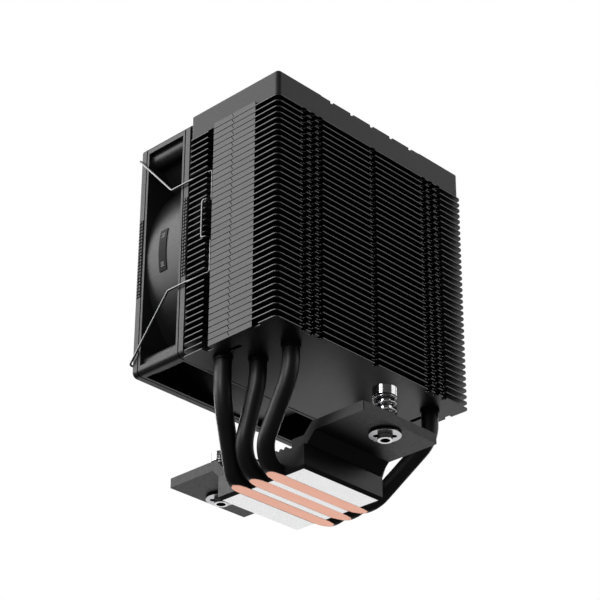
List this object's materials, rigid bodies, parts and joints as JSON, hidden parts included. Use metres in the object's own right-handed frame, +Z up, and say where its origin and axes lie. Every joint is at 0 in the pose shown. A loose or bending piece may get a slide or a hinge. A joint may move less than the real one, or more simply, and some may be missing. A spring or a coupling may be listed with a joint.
{
  "type": "cpu tower cooler",
  "caption": "Single-tower processor cooler with a black finned stack on U-shaped heat pipes, a direct-contact base with spring-screw brackets and one clip-on fan.",
  "frame": {"origin": "centre of the cold face, the underside of the base", "axes": "+Z up the tower, +Y away from the fan, +X to the side"},
  "size_m": [0.0982, 0.0906, 0.1347],
  "materials": {
    "black_fin": "black electrophoretic coat on aluminium",
    "cap_satin": "satin dark coat",
    "black_pipe": "glossy black coat on copper, bare copper flats on the cold face",
    "base_aluminium": "black anodised block with a machined underside",
    "black_steel": "black painted steel plate",
    "chrome_screw": "nickel plated",
    "spring_steel": "bright spring wire",
    "fan_plastic": "black moulded plastic",
    "blade_plastic": "black moulded plastic",
    "pad_rubber": "black rubber",
    "label_foil": "blank dark label",
    "yoke_steel": "pressed steel",
    "magnet": "plastic-bonded ferrite",
    "bronze": "oil-filled bronze",
    "core_steel": "stacked steel laminations",
    "copper_wire": "enamelled copper winding",
    "board": "glass-epoxy board"
  },
  "bodies": {
    "tower": {"fin_stack": "black_fin", "top_cap": "cap_satin", "heat_pipe_1": "black_pipe", "heat_pipe_2": "black_pipe", "heat_pipe_3": "black_pipe", "base_block": "base_aluminium", "bracket_front": "black_steel", "bracket_rear": "black_steel", "bracket_screws": "black_steel", "spring_front": "spring_steel", "spring_rear": "spring_steel", "fan_frame": "fan_plastic", "fan_pads": "pad_rubber", "barrel_label": "label_foil", "bearing_sleeve": "bronze", "stator_core": "core_steel", "stator_coils": "copper_wire", "circuit_board": "board"},
    "rotor": {"impeller": "blade_plastic", "rotor_yoke": "yoke_steel", "magnet_ring": "magnet", "rotor_shaft": "chrome_screw", "shaft_retainer": "pad_rubber", "hub_label": "label_foil"},
    "screw_carrier_front": {"retaining_clip_front": "spring_steel"},
    "screw_front": {"spring_screw_front": "chrome_screw"},
    "screw_carrier_rear": {"retaining_clip_rear": "spring_steel"},
    "screw_rear": {"spring_screw_rear": "chrome_screw"},
    "fan_clip_left": {"wire_clip_left": "spring_steel"},
    "fan_clip_right": {"wire_clip_right": "spring_steel"}
  },
  "joints": [
    {"name": "fan_spin", "type": "hinge", "parent": "tower", "child": "rotor", "pos_m": [0, -0.0229, 0.0875], "axis": [0, 1, 0], "continuous": true},
    {"name": "screw_press_front", "type": "slide", "parent": "tower", "child": "screw_carrier_front", "axis": [0, 0, 1], "range_m": [-0.003, 0], "stiffness_N_per_m": 2500, "springref_m": 0.001, "deforming": ["spring_front"]},
    {"name": "screw_turn_front", "type": "hinge", "parent": "screw_carrier_front", "child": "screw_front", "pos_m": [0, -0.0384, 0.02], "axis": [0, 0, 1], "continuous": true},
    {"name": "screw_press_rear", "type": "slide", "parent": "tower", "child": "screw_carrier_rear", "axis": [0, 0, 1], "range_m": [-0.003, 0], "stiffness_N_per_m": 2500, "springref_m": 0.001, "deforming": ["spring_rear"]},
    {"name": "screw_turn_rear", "type": "hinge", "parent": "screw_carrier_rear", "child": "screw_rear", "pos_m": [0, 0.0384, 0.02], "axis": [0, 0, 1], "continuous": true},
    {"name": "clip_swing_left", "type": "hinge", "parent": "tower", "child": "fan_clip_left", "pos_m": [-0.04125, -0.03615, 0.0875], "axis": [0, 0, 1], "range_deg": [0, 60]},
    {"name": "clip_swing_right", "type": "hinge", "parent": "tower", "child": "fan_clip_right", "pos_m": [0.04125, -0.03615, 0.0875], "axis": [0, 0, 1], "range_deg": [-60, 0]}
  ]
}
